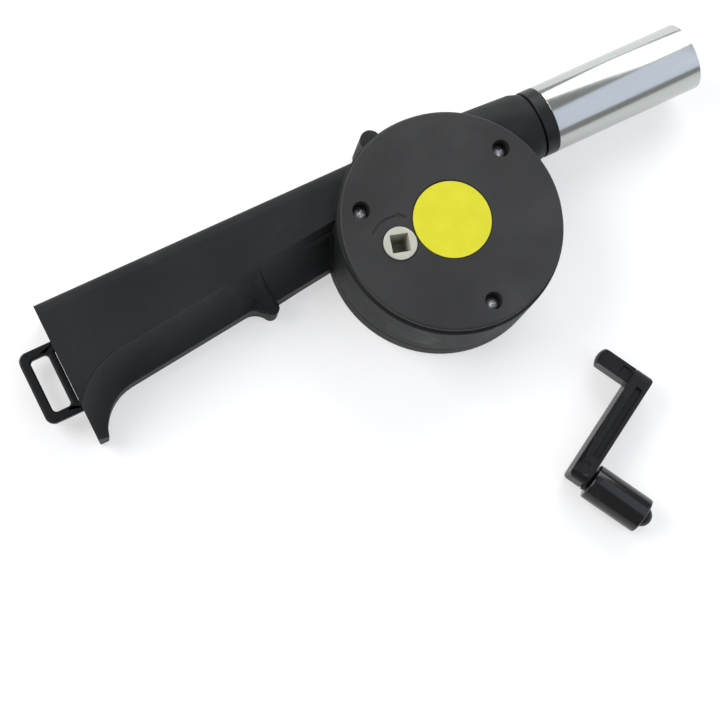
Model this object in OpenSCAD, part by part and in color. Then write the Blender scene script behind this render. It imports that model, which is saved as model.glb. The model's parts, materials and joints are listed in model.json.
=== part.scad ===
// Hand cranked air blower for a charcoal grill. It lies on its back, with its crank taken off
// and lying on the same surface. The origin is on the fan's axis, on the rest plane.
// +X runs along the nozzle, +Y towards the straight side of the handle, and +Z out of the front cover.

/* [Drum] */
// Outer radius of the drum
drum_r = 43; // [42.5:0.5:46]
// Wall of the drum, the handle and the neck
wall = 2.2; // [1.8:0.1:2.6]
// Height of the body's front seat above the rest plane
body_h = 34; // [33:0.5:40]
// Height of the joint between the rear cover and the body
parting_h = 8.5; // [7.5:0.5:9.5]
// Thickness of the rear cover's floor
floor_t = 2.5; // [2:0.1:3]
// Radius of the rounded shoulder at the front of the drum
shoulder_r = 1.4; // [0.6:0.1:2]

/* [Front cover] */
// Width of the drum's step round the front cover
cover_step = 1; // [0.8:0.1:1.4]
// Thickness of the front cover
cover_t = 3; // [2.6:0.1:4]
// Height of the lip that centres the cover in the drum
lip_h = 2; // [1:0.5:3]
// Radius of the label
label_r = 14.75; // [10:0.25:15]
// Thickness of the label
label_t = 0.4; // [0.2:0.1:0.6]
// Width of the open seam round the label
label_gap = 0.45; // [0.2:0.05:0.5]
// Radius of the engraved turning arrow about the socket
arrow_r = 10.1; // [9:0.1:12]
// Width of the engraved line
arrow_w = 1.2; // [0.6:0.1:1.4]
// Depth of the engraved arrow
arrow_depth = 0.5; // [0.3:0.1:0.8]

/* [Cover screws] */
// Radius of the circle that the three cover screws stand on
screw_circle_r = 34; // [33:0.5:35]
// Direction of the first cover screw
screw_phase = 29.4; // [20:0.1:35]
// Radius of a screw well
well_r = 3.3; // [3:0.1:3.5]
// Depth of a screw well
well_depth = 6; // [4:0.5:7]

/* [Screws] */
// Radius of every screw's shank
shank_r = 1.4; // [1.2:0.1:1.5]
// Radius of a screw head
head_r = 2.5; // [2.2:0.1:2.6]
// Height of a screw head
head_h = 1.8; // [1.4:0.1:2.2]

/* [Handle] */
// Distance from the fan axis to the end of the handle
handle_reach = 151.4; // [140:1:165]
// Distance from the fan axis to the straight side of the handle
handle_top = 37.6; // [34:0.1:39]
// Height of the handle's front face above the rest plane
handle_h = 31; // [28:0.5:32]
// Height of the finger side above the fan axis, measured at the middle of the grip
grip_y = 3.3; // [0:0.1:6]
// Slope of the finger side
grip_slope = 6.2; // [3:0.1:7]
// How far the end of the handle leans in towards its back
butt_draft = 2; // [1:0.1:4]
// Radius of the flared heel in plan
heel_r = 19; // [17:0.5:21]
// Width of the tip of the heel
heel_tip = 5.6; // [5:0.1:7]
// Angle by which the flare stops short of a quarter turn
heel_short = 13; // [8:1:18]
// Width of the hollowed flank between the finger side and the front face
flank_w = 9.4; // [6:0.2:11]
// Radius of the hollow in the flank
flank_r = 26; // [24:1:40]
// Radius of the bevel along the straight side
bevel_r = 5; // [3:0.5:6]
// Distance from the fan axis to the finger guard
guard_x = 70.6; // [66:0.2:80]
// How far the finger guard stands out
guard_h = 6; // [4:0.2:7]
// Half width of the finger guard
guard_r = 2.8; // [2:0.2:4]
// Radius of the sweep that leads into the finger guard
guard_lead = 7.5; // [5:0.5:12]
// Radius of the fillet behind the finger guard
guard_back = 1.5; // [1:0.1:3]
// How far the side between the guard and the drum stands out
throat_out = 1.8; // [1:0.1:3]

/* [Hanging loop] */
// Length of the loop across the handle
loop_l = 28.6; // [24:0.2:32]
// How far the loop stands out of the handle
loop_out = 13.8; // [11:0.1:17]
// Width of the hanging loop's bar along the handle
loop_root = 3; // [2:0.1:4]
// Width of the loop's bar
loop_bar = 3.7; // [3:0.1:4.4]
// Thickness of the loop's bar
loop_t = 3.4; // [2.4:0.1:4]
// Middle of the loop across the handle
loop_y = 12.7; // [10:0.1:16]

/* [Nozzle] */
// Distance of the nozzle's axis from the fan axis
nozzle_y = 23.8; // [22:0.1:25]
// Height of the nozzle's axis above the rest plane
nozzle_z = 19; // [17:0.1:19.2]
// Outer radius of the nozzle tube
tube_r = 13.4; // [12:0.1:14]
// Wall of the nozzle tube
tube_t = 0.6; // [0.4:0.1:1]
// Distance from the fan axis to the end of the tube
tube_end = 120; // [100:1:140]
// Half width of the neck where it leaves the drum
neck_half = 14.4; // [14:0.1:15]
// Radius of the neck's corners where it leaves the drum
neck_corner = 7; // [5:0.5:9]
// Distance from the fan axis to the end of the neck
neck_end = 50.5; // [49:0.5:54]
// Length of the collar that shows between the neck and the tube
collar_l = 5.3; // [4:0.1:8]
// Length of the collar's spigots in the neck and in the tube
spigot_l = 11; // [8:0.5:14]
// Wall of the collar's spigots
spigot_t = 1.9; // [1.5:0.1:2.4]

/* [Drive gear] */
// Distance from the fan axis to the drive socket
socket_x = 22; // [21:0.5:23]
// Radius of the drive gear's hub
hub_r = 6.3; // [6:0.1:6.8]
// Width of the square socket
socket_w = 6.9; // [6.6:0.1:7.4]
// Depth of the square socket
socket_depth = 14; // [11:0.5:15]
// Turn of the square socket about its own axis
socket_turn = -16.3; // [-45:0.1:45]
// How far the hub stands out of the front cover
hub_proud = 0.6; // [0:0.1:1]
// Radius of the drive gear's stub in the gear plate
stub_r = 1.9; // [1.6:0.1:2]

/* [Gear train] */
// Module of the first pair of gears
drive_m = 0.8; // [0.76:0.01:0.82]
// Teeth of the drive gear
drive_n = 32; // [30:1:33]
// Teeth of the compound gear's pinion
step_n = 10; // [10:1:11]
// Module of the second pair of gears
fan_m = 0.7; // [0.66:0.01:0.71]
// Teeth of the compound gear's wheel
wheel_n = 38; // [34:1:38]
// Teeth of the fan pinion
fan_n = 10; // [10:1:11]
// Face width of the drive gear
drive_w = 4; // [3:0.5:4.5]
// Face width of the compound gear's wheel
wheel_w = 3.5; // [2.5:0.5:4]
// Play between two meshing teeth at the pitch circle
backlash = 0.12; // [0.08:0.01:0.2]
// Radius of the steel shaft and of the steel axle
shaft_r = 1.5; // [1.2:0.1:1.6]
// Thickness of the gear plate
plate_t = 2.5; // [2:0.1:3]

/* [Fan] */
// Radius of the impeller
fan_r = 30; // [26:0.5:30.5]
// Number of blades on the impeller
blade_n = 10; // [6:1:14]
// Thickness of a blade
blade_t = 1.3; // [1:0.1:2]
// Outer radius of the two shaft bushes
bush_r = 3; // [2.6:0.1:3.2]
// Number of slots in the intake grille
slot_n = 20; // [12:1:22]
// Width of a slot in the intake grille
slot_w = 2.6; // [2:0.1:3]

/* [Crank] */
// Distance between the crank's peg and its grip pin
arm_l = 42.5; // [36:0.5:56]
// Thickness of the crank's arm
arm_t = 8; // [6:0.1:9]
// Width of the crank's arm
arm_w = 13; // [11:0.2:13.4]
// Width of the square peg
peg_w = 6.7; // [6:0.1:6.7]
// Length of the square peg
peg_l = 15; // [13:0.5:18]
// Radius of the turning grip
grip_r = 7.2; // [6.8:0.1:8]
// Length of the turning grip
grip_l = 24; // [20:0.5:30]
// Radius of the pin that the grip turns on
pin_r = 3; // [2.4:0.1:3.6]
// Position of the peg's root on the surface, along the nozzle
crank_x = 44.1; // [36:0.1:70]
// Position of the peg's root on the surface, away from the nozzle
crank_y = -82.9; // [-120:0.1:-76]
// Direction of the arm on the surface
crank_turn = 209; // [180:1:240]

/* [Hidden] */
$fn = 96;
// Radial clearance of a shaft or hub that turns in its hole
run = 0.06;
// Clearance of a piece that is slipped into a fixed seat
slip = 0.1;
// Gap between the flat faces of two pieces that turn past each other
pass = 0.3;
// Overrun of a cut past the face that it opens
cut = 1;
// Overlap by which joined shapes reach into each other
weld = 0.5;
// Steps that a quarter round is drawn with
steps = 8;
pressure = 20;
tooth_shift = 0.35;
tooth_top = 0.9;

cover_top = body_h + cover_t;
hub_top = cover_top + hub_proud;
socket_floor = hub_top - socket_depth;
hub_bottom = socket_floor - 1.2;
ring_top = body_h - 0.4;
ring_bottom = ring_top - drive_w;
washer_t = 0.5;
wheel_gap = 0.7;
wheel_top = hub_bottom - wheel_gap;
wheel_bottom = wheel_top - wheel_w;
plate_top = wheel_bottom - wheel_gap - washer_t;
plate_bottom = plate_top - plate_t;
inner_r = drum_r - wall;
cover_r = drum_r - cover_step;
well_floor = cover_top - well_depth;
well_wall = 1.2;
well_bottom = well_floor - 1.5;
pilot_r = shank_r + 0.03;
clear_r = shank_r + 0.2;
post_r = 3.8;
bush_l = 4;
bush_boss_r = bush_r + 1.3;
rear_hub_h = 5;
back_t = 1.4;
hub_fan_r = 5;
blade_root = 11;
blade_sweep = 30;
blade_bow = 22;
slot_in = 9;
slot_out = 25;
neck_start = 16;
neck_swell = 0.9;
neck_round = 0.4;
neck_band = 5;
collar_gap = 0.4;
seat_r = tube_r - 2 * tube_t;
seat_l = spigot_l + pass;
case_seat = 4.5;
tip_gap = 1.5;
case_shank = plate_bottom - tip_gap - case_seat;
plate_shank = 5.5;
cover_shank = 8.5;

// Axis of the compound gear, where the two circles of its centre distances cross
stub_neck_r = 2.7;
a_drive = drive_m * (drive_n + step_n) / 2;
a_fan = fan_m * (wheel_n + fan_n) / 2;
mid_x = (a_drive ^ 2 - a_fan ^ 2 - socket_x ^ 2) / (2 * socket_x);
mid_y = -sqrt(a_fan ^ 2 - mid_x ^ 2);
mid_dir = atan2(mid_y, mid_x + socket_x);
fan_dir = atan2(-mid_y, -mid_x);

// Each blade is an arc from its root to the rim of the impeller, swept back by a set angle
blade_tip = (fan_r - 0.5) * [cos(blade_sweep), sin(blade_sweep)];
blade_chord = blade_tip - [blade_root, 0];
blade_c = (blade_tip + [blade_root, 0]) / 2
    + sqrt(blade_bow ^ 2 / (blade_chord * blade_chord) - 0.25) * [-blade_chord[1], blade_chord[0]];
blade_a0 = atan2(-blade_c[1], blade_root - blade_c[0]);
blade_a1 = atan2(blade_tip[1] - blade_c[1], blade_tip[0] - blade_c[0]);

// Phase of a follower's first tooth, so that its gap meets the other gear's tooth
function mesh_turn(dir, n_a, turn_a, n_b) =
    dir + 180 - 360 / n_b * (0.5 - (dir - turn_a) * n_a / 360);
step_turn = mesh_turn(mid_dir, drive_n, 0, step_n);
fan_turn = mesh_turn(fan_dir, wheel_n, 0, fan_n);

grip_mid = 100.7;
butt_x = -handle_reach;
function grip_line(x) = grip_y + tan(grip_slope) * (x + grip_mid);
heel_c_x = butt_x + heel_tip + heel_r * cos(heel_short);
heel_line_x = heel_c_x - heel_r * sin(grip_slope);
heel_c = [heel_c_x, grip_line(heel_line_x) - heel_r * cos(grip_slope)];
function butt_at(z) = butt_x + butt_draft * (1 - z / handle_h);
hollow_stop = 145;
butt_screw_in = 14;
handle_screw_y = 24;
handle_screws = [[butt_x + butt_screw_in, handle_screw_y], [-96, handle_screw_y], [-56, handle_screw_y]];
drum_screw_dirs = [-60, -120];
drum_screw_r = inner_r - 2.9;
nub_c = [-9.8, 43.4] * drum_r / 43;
nub_r = 4.1;
nub_h = 24;

pin_shoulder = 0.6;
grip_y0 = arm_t / 2 + pin_shoulder + pass;
head_recess = 5;
head_y = grip_y0 + grip_l - head_recess + pass;
snap_r = pin_r + 0.9;
snap_dome = 2.6;
snap_l = head_recess - pass + 3.4;
dome_r = (snap_r ^ 2 + snap_dome ^ 2) / (2 * snap_dome);
arm_over = peg_w / 2 + 0.15;
arm_round = 4;
arm_corner = 2;
pin_over = 0.4;
groove_w = 2.7;
groove_d = 1.6;
groove_rim = 1.7;

function arc(c, r, a0, a1, n = steps) =
    [for (i = [0:n]) let (a = a0 + (a1 - a0) * i / n) c + r * [cos(a), sin(a)]];

function drum_screw(dir) = drum_screw_r * [cos(dir), sin(dir)];
case_points = concat(handle_screws, [nub_c], [for (dir = drum_screw_dirs) drum_screw(dir)]);
cover_points = [for (k = [0:2])
    screw_circle_r * [cos(screw_phase + 120 * k), sin(screw_phase + 120 * k)]];

// Plan outline of the handle, drawn in by a margin for the hollow, which stops short of the heel's tip
function handle_plan(inset = 0) =
    let (heel = arc(heel_c, heel_r + inset, inset > 0 ? hollow_stop : 180 - heel_short, 90 + grip_slope))
    concat(
        [[0, handle_top - inset], [butt_x + inset, handle_top - inset], [butt_x + inset, heel[0][1]]],
        heel,
        [[0, grip_line(0) + inset / cos(grip_slope)]]);

// Section of the space that the flank is hollowed to: distance from the outline, and height. Its arc
// rises from the outline, or from the guard's tip, to the edge of the front face. It starts a little
// outside the outline, so that the cut ends in the open.
flank_low = parting_h + 0.5;
flank_run = 5;
guard_rise = 1;
ridge_steps = 4;
ridge_top_r = 0.5;
ridge_lead = 3.7;
ridge_drop = 0.4;
ridge_slab = 0.1;
ridge_sink = 0.3;
ridge_root = 0.8;
throat_end = drum_r - 6;
function flank_centre(start) =
    let (run = flank_w - start, rise = handle_h - flank_low, chord = norm([run, rise]),
         sag = sqrt(flank_r ^ 2 - chord ^ 2 / 4))
    [(flank_w + start) / 2 - sag * rise / chord, (handle_h + flank_low) / 2 + sag * run / chord];
function flank_section(shift, reach, start = 0) =
    let (c = flank_centre(start),
         low = atan2(flank_low - c[1], start - c[0]) - flank_run,
         high = atan2(handle_h - c[1], flank_w - c[0]),
         curve = arc(c, flank_r, low, high))
    concat([[flank_w + shift, handle_h + cut], [-reach, handle_h + cut], [-reach, curve[0][1]]],
           [for (p = curve) [p[0] + shift, p[1]]]);

module flank_cut(shift) {
    translate([heel_line_x, grip_line(heel_line_x), 0])
        rotate([0, 0, grip_slope]) {
            rotate([90, 0, 90])
                linear_extrude(height = -heel_line_x)
                    polygon(flank_section(shift, heel_r));
            translate([0, -heel_r, 0])
                rotate_extrude(angle = 105, start = 90)
                    translate([heel_r, 0])
                        polygon(flank_section(shift, heel_r));
        }
}

module bevel_cut(shift) {
    c = [handle_top - bevel_r, handle_h - bevel_r];
    translate([butt_x - cut, 0, 0])
        rotate([90, 0, 90])
            linear_extrude(height = handle_reach + cut)
                polygon(concat(arc(c, bevel_r - shift, 0, 90), [[c[0], handle_h + cut],
                        [handle_top + cut, handle_h + cut], [handle_top + cut, c[1]]]));
}

// Wedge that the leaning end of the handle leaves free, moved in by a margin for the hollow
module butt_cut(inset) {
    translate([inset, handle_top + cut, 0])
        rotate([90, 0, 0])
            linear_extrude(height = 2 * handle_top + 2 * cut)
                polygon([[butt_at(-cut), -cut], [butt_at(handle_h + cut), handle_h + cut],
                         [butt_x - 2 * cut, handle_h + cut], [butt_x - 2 * cut, -cut]]);
}

module handle_solid(inset = 0, low = 0, high = handle_h) {
    difference() {
        translate([0, 0, low])
            linear_extrude(height = high - low)
                polygon(handle_plan(inset));
        flank_cut(inset);
        bevel_cut(inset);
        butt_cut(inset);
    }
}

// Finger guard: a rounded knob whose ridge narrows as it climbs the flank to the front face. It is
// drawn in the frame of the finger side, with the side along X. A long sweep leads into it from the
// heel. Behind it, the side stands out a little up to the drum.
function guard_foot(r) = sqrt((r + guard_r) ^ 2 - (r + guard_r - guard_h) ^ 2);
function flank_at(z) = let (c = flank_centre(0)) c[0] + sqrt(flank_r ^ 2 - (z - c[1]) ^ 2);

module guard_plan() {
    tip = guard_r - guard_h;
    lead = guard_foot(guard_lead);
    back = guard_foot(guard_back);
    lead_turn = atan2(tip + guard_lead, lead);
    back_turn = atan2(-tip - guard_back, back);
    knob = arc([0, tip], guard_r, 180 + lead_turn, 360 + back_turn, 2 * steps);
    polygon(concat(arc([-lead, -guard_lead], guard_lead, 90, lead_turn),
                   [for (i = [1:2 * steps - 1]) knob[i]],
                   arc([back, -guard_back], guard_back, 180 + back_turn, 90),
                   [[back, flank_w], [-lead, flank_w]]));
}

// One cross section of the ridge, at a share of its way up
module ridge_slice(share) {
    c = flank_centre(-guard_h);
    low = atan2(flank_low - c[1], -guard_h - c[0]);
    high = atan2(handle_h - c[1], flank_w - c[0]);
    crest = c + flank_r * [cos(low + (high - low) * share), sin(low + (high - low) * share)];
    r = guard_r + (ridge_top_r - guard_r) * share;
    foot = flank_at(crest[1] - ridge_drop) + ridge_sink;
    translate([0, 0, crest[1] - ridge_drop])
        linear_extrude(height = ridge_slab) {
            translate([0, crest[0] + r])
                circle(r = r, $fn = 24);
            polygon([[-ridge_lead * (1 - share) - r, foot], [r, foot],
                     [r, foot + ridge_root], [-r, foot + ridge_root]]);
        }
}

module guard() {
    translate([-guard_x, grip_line(-guard_x), 0])
        rotate([0, 0, grip_slope]) {
            linear_extrude(height = flank_low + guard_rise)
                guard_plan();
            for (i = [0:ridge_steps - 1])
                hull() {
                    ridge_slice(i / ridge_steps);
                    ridge_slice((i + 1) / ridge_steps);
                }
            difference() {
                translate([0, -throat_out, 0])
                    cube([guard_x - throat_end, throat_out + flank_w, handle_h - weld]);
                translate([-cut, 0, 0])
                    rotate([90, 0, 90])
                        linear_extrude(height = guard_x)
                            polygon(flank_section(0, heel_r, -throat_out));
            }
        }
}

module drum_solid() {
    rotate_extrude()
        polygon(concat([[0, 0], [drum_r - 1, 0], [drum_r, 1]],
                arc([drum_r - shoulder_r, body_h - shoulder_r], shoulder_r, 0, 90),
                [[0, body_h]]));
}

// Neck: squarish where it leaves the drum, and round where it takes the collar
module neck_solid(inset = 0) {
    root = neck_half - inset;
    corner = neck_corner - inset / 2;
    hull() {
        for (y = [-1, 1], z = [-1, 1])
            translate([neck_start, nozzle_y + y * (root - corner), nozzle_z + z * (root - corner)])
                rotate([0, 90, 0])
                    cylinder(r = corner, h = 1, $fn = 32);
        translate([neck_end - neck_band, nozzle_y, nozzle_z])
            rotate([0, 90, 0])
                cylinder(r = tube_r + neck_swell - inset, h = 1, $fn = 48);
        translate([neck_end - 1 - inset, nozzle_y, nozzle_z])
            rotate([0, 90, 0])
                cylinder(r = tube_r - neck_round - inset, h = 1, $fn = 48);
    }
}

module along_nozzle(x, r, h) {
    translate([x, nozzle_y, nozzle_z])
        rotate([0, 90, 0])
            cylinder(r = r, h = h);
}

module nub() {
    translate([nub_c[0], nub_c[1], 0]) {
        cylinder(r = nub_r, h = nub_h - 1);
        translate([0, 0, nub_h - 1])
            cylinder(r1 = nub_r, r2 = nub_r - 1, h = 1);
    }
}

module outer_form() {
    drum_solid();
    handle_solid();
    guard();
    neck_solid();
    nub();
}

module handle_hollow() {
    difference() {
        handle_solid(wall, floor_t, handle_h - wall);
        cylinder(r = drum_r, h = body_h);
    }
}

module neck_hollow() {
    difference() {
        neck_solid(wall);
        cylinder(r = drum_r, h = body_h);
    }
    intersection() {
        neck_solid(wall);
        translate([0, 0, floor_t])
            cylinder(r = drum_r + cut, h = plate_bottom - floor_t);
    }
    along_nozzle(neck_end - spigot_l, seat_r, spigot_l + cut);
}

module loop_slots() {
    for (side = [-1, 1])
        translate([butt_at(parting_h) + wall / 2, loop_y + side * (loop_l - loop_bar) / 2, parting_h])
            cube([wall + cut, loop_bar + 2 * slip, loop_t + 2 * slip], center = true);
}

module at_points(points, z) {
    for (p = points)
        translate([p[0], p[1], z])
            children();
}

// Post of a cover screw, with the rib that holds it to the drum's wall
module cover_post_plan() {
    rib_t = 2;
    translate([screw_circle_r, 0])
        circle(r = post_r);
    translate([screw_circle_r, -rib_t / 2])
        square([inner_r - screw_circle_r + weld, rib_t]);
}

// Front shell: drum wall, handle and neck, with the posts that the screws go into
module body_shell() {
    color([0.13, 0.13, 0.14])
    difference() {
        union() {
            intersection() {
                difference() {
                    outer_form();
                    translate([0, 0, floor_t])
                        cylinder(r = inner_r, h = body_h);
                    handle_hollow();
                    neck_hollow();
                }
                translate([-2 * handle_reach, -2 * handle_reach, parting_h])
                    cube([4 * handle_reach, 4 * handle_reach, 2 * body_h]);
            }
            at_points(handle_screws, parting_h)
                cylinder(r = post_r, h = handle_h - wall + weld - parting_h);
            at_points([for (dir = drum_screw_dirs) drum_screw(dir)], parting_h)
                cylinder(r = post_r - 0.4, h = plate_bottom - slip - parting_h);
            for (k = [0:2])
                rotate([0, 0, screw_phase + 120 * k])
                    translate([0, 0, plate_top])
                        linear_extrude(height = well_bottom - plate_top)
                            cover_post_plan();
        }
        at_points(case_points, parting_h - cut)
            cylinder(r = pilot_r, h = case_shank - parting_h + case_seat + cut + weld);
        at_points(cover_points, plate_top - cut)
            cylinder(r = pilot_r, h = well_bottom - plate_top + 2 * cut);
        loop_slots();
    }
}

// Rear shell: floor with the intake grille, a low wall, and seats for the case screws
module rear_cover() {
    color([0.12, 0.12, 0.13])
    difference() {
        union() {
            difference() {
                intersection() {
                    outer_form();
                    translate([-2 * handle_reach, -2 * handle_reach, 0])
                        cube([4 * handle_reach, 4 * handle_reach, parting_h]);
                }
                translate([0, 0, floor_t])
                    cylinder(r = inner_r, h = body_h);
                handle_hollow();
                neck_hollow();
                for (k = [0:slot_n - 1])
                    rotate([0, 0, 360 / slot_n * k])
                        grille_slot();
            }
            at_points(concat(handle_screws, [for (dir = drum_screw_dirs) drum_screw(dir)]), 0)
                cylinder(r = post_r, h = parting_h);
            cylinder(r = bush_boss_r, h = rear_hub_h);
        }
        at_points(case_points, -cut)
            cylinder(r = head_r + 0.3, h = case_seat + cut);
        at_points(case_points, 0)
            cylinder(r = clear_r, h = parting_h + cut);
        translate([0, 0, rear_hub_h - bush_l + 0.5])
            cylinder(r = bush_r + 0.02, h = bush_l);
        loop_slots();
    }
}

module grille_slot() {
    translate([slot_in + slot_w / 2, -slot_w / 2, -cut])
        cube([slot_out - slot_in - slot_w, slot_w, floor_t + 2 * cut]);
    for (x = [slot_in, slot_out - slot_w])
        translate([x + slot_w / 2, 0, -cut])
            cylinder(r = slot_w / 2, h = floor_t + 2 * cut, $fn = 24);
}

module turning_arrow() {
    tail = 137;
    tip = 66;
    head = 3.4;
    rotate_extrude(angle = tail - tip, start = tip)
        translate([arrow_r - arrow_w / 2, 0])
            square([arrow_w, cut + arrow_depth]);
    rotate([0, 0, tip])
        translate([arrow_r, 0, 0])
            linear_extrude(height = cut + arrow_depth)
                polygon([[-head / 2, weld], [head / 2, weld], [0, -head]]);
}

// Front cover: a thick disc with three screw wells, the socket's hole and the label's recess
module front_cover() {
    rim = 0.5;
    seam = 0.5;
    recess = label_t + 0.1;
    color([0.14, 0.14, 0.15])
    difference() {
        union() {
            translate([0, 0, body_h])
                cylinder(r = cover_r - seam, h = cover_t - rim);
            translate([0, 0, body_h + seam])
                cylinder(r = cover_r, h = cover_t - rim - seam);
            translate([0, 0, cover_top - rim])
                cylinder(r1 = cover_r, r2 = cover_r - rim, h = rim);
            difference() {
                translate([0, 0, body_h - lip_h])
                    cylinder(r = inner_r - slip, h = lip_h + weld);
                translate([0, 0, body_h - lip_h - cut])
                    cylinder(r = inner_r - slip - 1.4, h = lip_h + 2 * cut);
            }
            at_points(cover_points, well_bottom)
                cylinder(r = well_r + well_wall, h = cover_top - rim - well_bottom);
            translate([0, 0, body_h - bush_l - 1])
                cylinder(r = bush_boss_r, h = bush_l + 1 + weld);
        }
        at_points(cover_points, well_floor)
            cylinder(r = well_r, h = well_depth + cut);
        at_points(cover_points, well_bottom - cut)
            cylinder(r = clear_r, h = well_depth);
        translate([0, 0, body_h - bush_l - 1 - cut])
            cylinder(r = bush_r + 0.02, h = bush_l + cut);
        translate([-socket_x, 0, body_h - cut])
            cylinder(r = hub_r + run, h = cover_t + 2 * cut);
        translate([mid_x, mid_y, body_h - cut])
            cylinder(r = shaft_r + 0.02, h = cover_t / 2 + cut);
        translate([0, 0, cover_top - recess])
            cylinder(r = label_r + label_gap, h = recess + cut);
        translate([-socket_x, 0, cover_top - arrow_depth])
            turning_arrow();
    }
}

module label_disc() {
    color([0.93, 0.86, 0.16])
    translate([0, 0, cover_top - label_t - 0.1])
        cylinder(r = label_r, h = label_t);
}

module cross_recess(depth) {
    for (turn = [0, 90])
        rotate([0, 0, turn])
            translate([-head_r * 0.55, -head_r * 0.13, head_h - depth])
                cube([head_r * 1.1, head_r * 0.26, depth + cut]);
}

// Pan head screw, with the underside of its head on z = 0 and its shank below
module screw(length) {
    difference() {
        union() {
            cylinder(r = head_r, h = head_h * 0.55);
            translate([0, 0, head_h * 0.55])
                cylinder(r1 = head_r, r2 = head_r * 0.6, h = head_h * 0.45);
            translate([0, 0, -length])
                cylinder(r = shank_r, h = length + weld);
        }
        cross_recess(head_h * 0.6);
    }
}

module cover_screws() {
    color([0.72, 0.73, 0.74])
    at_points(cover_points, well_floor)
        screw(cover_shank);
}

module case_screws() {
    color([0.7, 0.71, 0.72])
    at_points(case_points, case_seat)
        rotate([180, 0, 0])
            screw(case_shank);
}

module plate_screws() {
    color([0.7, 0.71, 0.72])
    at_points(cover_points, plate_bottom)
        rotate([180, 0, 0])
            screw(plate_shank);
}

// Plate that parts the gears from the fan and carries the drive gear and the compound gear
module gear_plate() {
    color([0.78, 0.78, 0.76])
    difference() {
        translate([0, 0, plate_bottom])
            cylinder(r = inner_r - slip, h = plate_t);
        at_points(cover_points, plate_bottom - cut)
            cylinder(r = clear_r, h = plate_t + 2 * cut);
        translate([0, 0, plate_bottom - cut])
            cylinder(r = shaft_r + 0.6, h = plate_t + 2 * cut);
        translate([mid_x, mid_y, plate_bottom - cut])
            cylinder(r = shaft_r + 0.02, h = plate_t + 2 * cut);
        translate([-socket_x, 0, plate_bottom - cut])
            cylinder(r = stub_r + run, h = plate_t + 2 * cut);
    }
}

// Involute gear outline. shift moves the teeth out from the pitch circle, in modules.
function involute(r, base) = let (a = acos(min(1, base / r))) tan(a) * 180 / PI - a;
function tooth_half(r, m, n, shift) =
    let (pitch = m * n / 2, base = pitch * cos(pressure))
    90 / n + (2 * shift * tan(pressure) * m - backlash) / pitch / 2 * 180 / PI
        + involute(pitch, base) - involute(max(r, base), base);
function gear_points(m, n, shift) =
    let (pitch = m * n / 2,
         root = pitch - m * (1.25 - shift),
         tip = pitch + m * (tooth_top + shift),
         radii = [root, max(root, pitch * cos(pressure)) + m * 0.1, pitch, (pitch + tip) / 2, tip])
    [for (k = [0:n - 1], side = [-1, 1], i = [0:4])
        let (r = radii[side < 0 ? i : 4 - i], a = 360 / n * k + side * tooth_half(r, m, n, shift))
            r * [cos(a), sin(a)]];

module gear(m, n, shift, h) {
    linear_extrude(height = h)
        polygon(gear_points(m, n, shift));
}

// Drive gear: hub with the square socket, a ring of teeth, and a stub in the gear plate
module drive_gear() {
    color([0.91, 0.89, 0.82])
    translate([-socket_x, 0, 0])
        difference() {
            union() {
                translate([0, 0, hub_bottom])
                    cylinder(r = hub_r, h = hub_top - hub_bottom);
                translate([0, 0, ring_bottom])
                    gear(drive_m, drive_n, -tooth_shift, drive_w);
                translate([0, 0, plate_top + pass])
                    cylinder(r = stub_neck_r, h = hub_bottom - plate_top);
                translate([0, 0, plate_bottom + pass])
                    cylinder(r = stub_r, h = plate_t + weld);
            }
            translate([0, 0, socket_floor])
                rotate([0, 0, socket_turn])
                    translate([-socket_w / 2, -socket_w / 2, 0])
                        cube([socket_w, socket_w, socket_depth + cut]);
        }
}

// Compound gear: a wheel that drives the fan pinion, and a pinion that the drive gear turns
module compound_gear() {
    low = plate_top + washer_t + pass;
    barrel_top = ring_bottom - 2 * pass;
    color([0.86, 0.84, 0.78])
    translate([mid_x, mid_y, 0])
        difference() {
            union() {
                translate([0, 0, wheel_bottom])
                    gear(fan_m, wheel_n, -tooth_shift, wheel_w);
                translate([0, 0, low])
                    cylinder(r = 2 * shaft_r + 1, h = barrel_top - low);
                translate([0, 0, barrel_top])
                    rotate([0, 0, step_turn])
                        gear(drive_m, step_n, tooth_shift, body_h - pass - barrel_top);
            }
            translate([0, 0, plate_bottom])
                cylinder(r = shaft_r + run, h = body_h);
        }
}

module compound_axle() {
    color([0.75, 0.76, 0.78])
    translate([mid_x, mid_y, plate_bottom])
        cylinder(r = shaft_r, h = body_h + cover_t / 2 - 0.1 - plate_bottom);
}

module compound_washer() {
    color([0.8, 0.7, 0.4])
    translate([mid_x, mid_y, plate_top])
        difference() {
            cylinder(r = 2 * shaft_r, h = washer_t);
            translate([0, 0, -cut])
                cylinder(r = shaft_r + slip, h = washer_t + 2 * cut);
        }
}

module fan_pinion() {
    color([0.8, 0.66, 0.35])
    difference() {
        translate([0, 0, plate_top + pass])
            rotate([0, 0, fan_turn])
                gear(fan_m, fan_n, tooth_shift, wheel_top - plate_top + 0.2);
        translate([0, 0, plate_bottom])
            cylinder(r = shaft_r, h = body_h);
    }
}

module fan_shaft() {
    low = rear_hub_h - bush_l + 0.8;
    color([0.75, 0.76, 0.78])
    translate([0, 0, low])
        cylinder(r = shaft_r, h = body_h - 1.3 - low);
}

module fan_washer() {
    color([0.9, 0.9, 0.86])
    translate([0, 0, rear_hub_h + pass])
        difference() {
            cylinder(r = 2 * shaft_r, h = washer_t);
            translate([0, 0, -cut])
                cylinder(r = shaft_r, h = washer_t + 2 * cut);
        }
}

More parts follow.
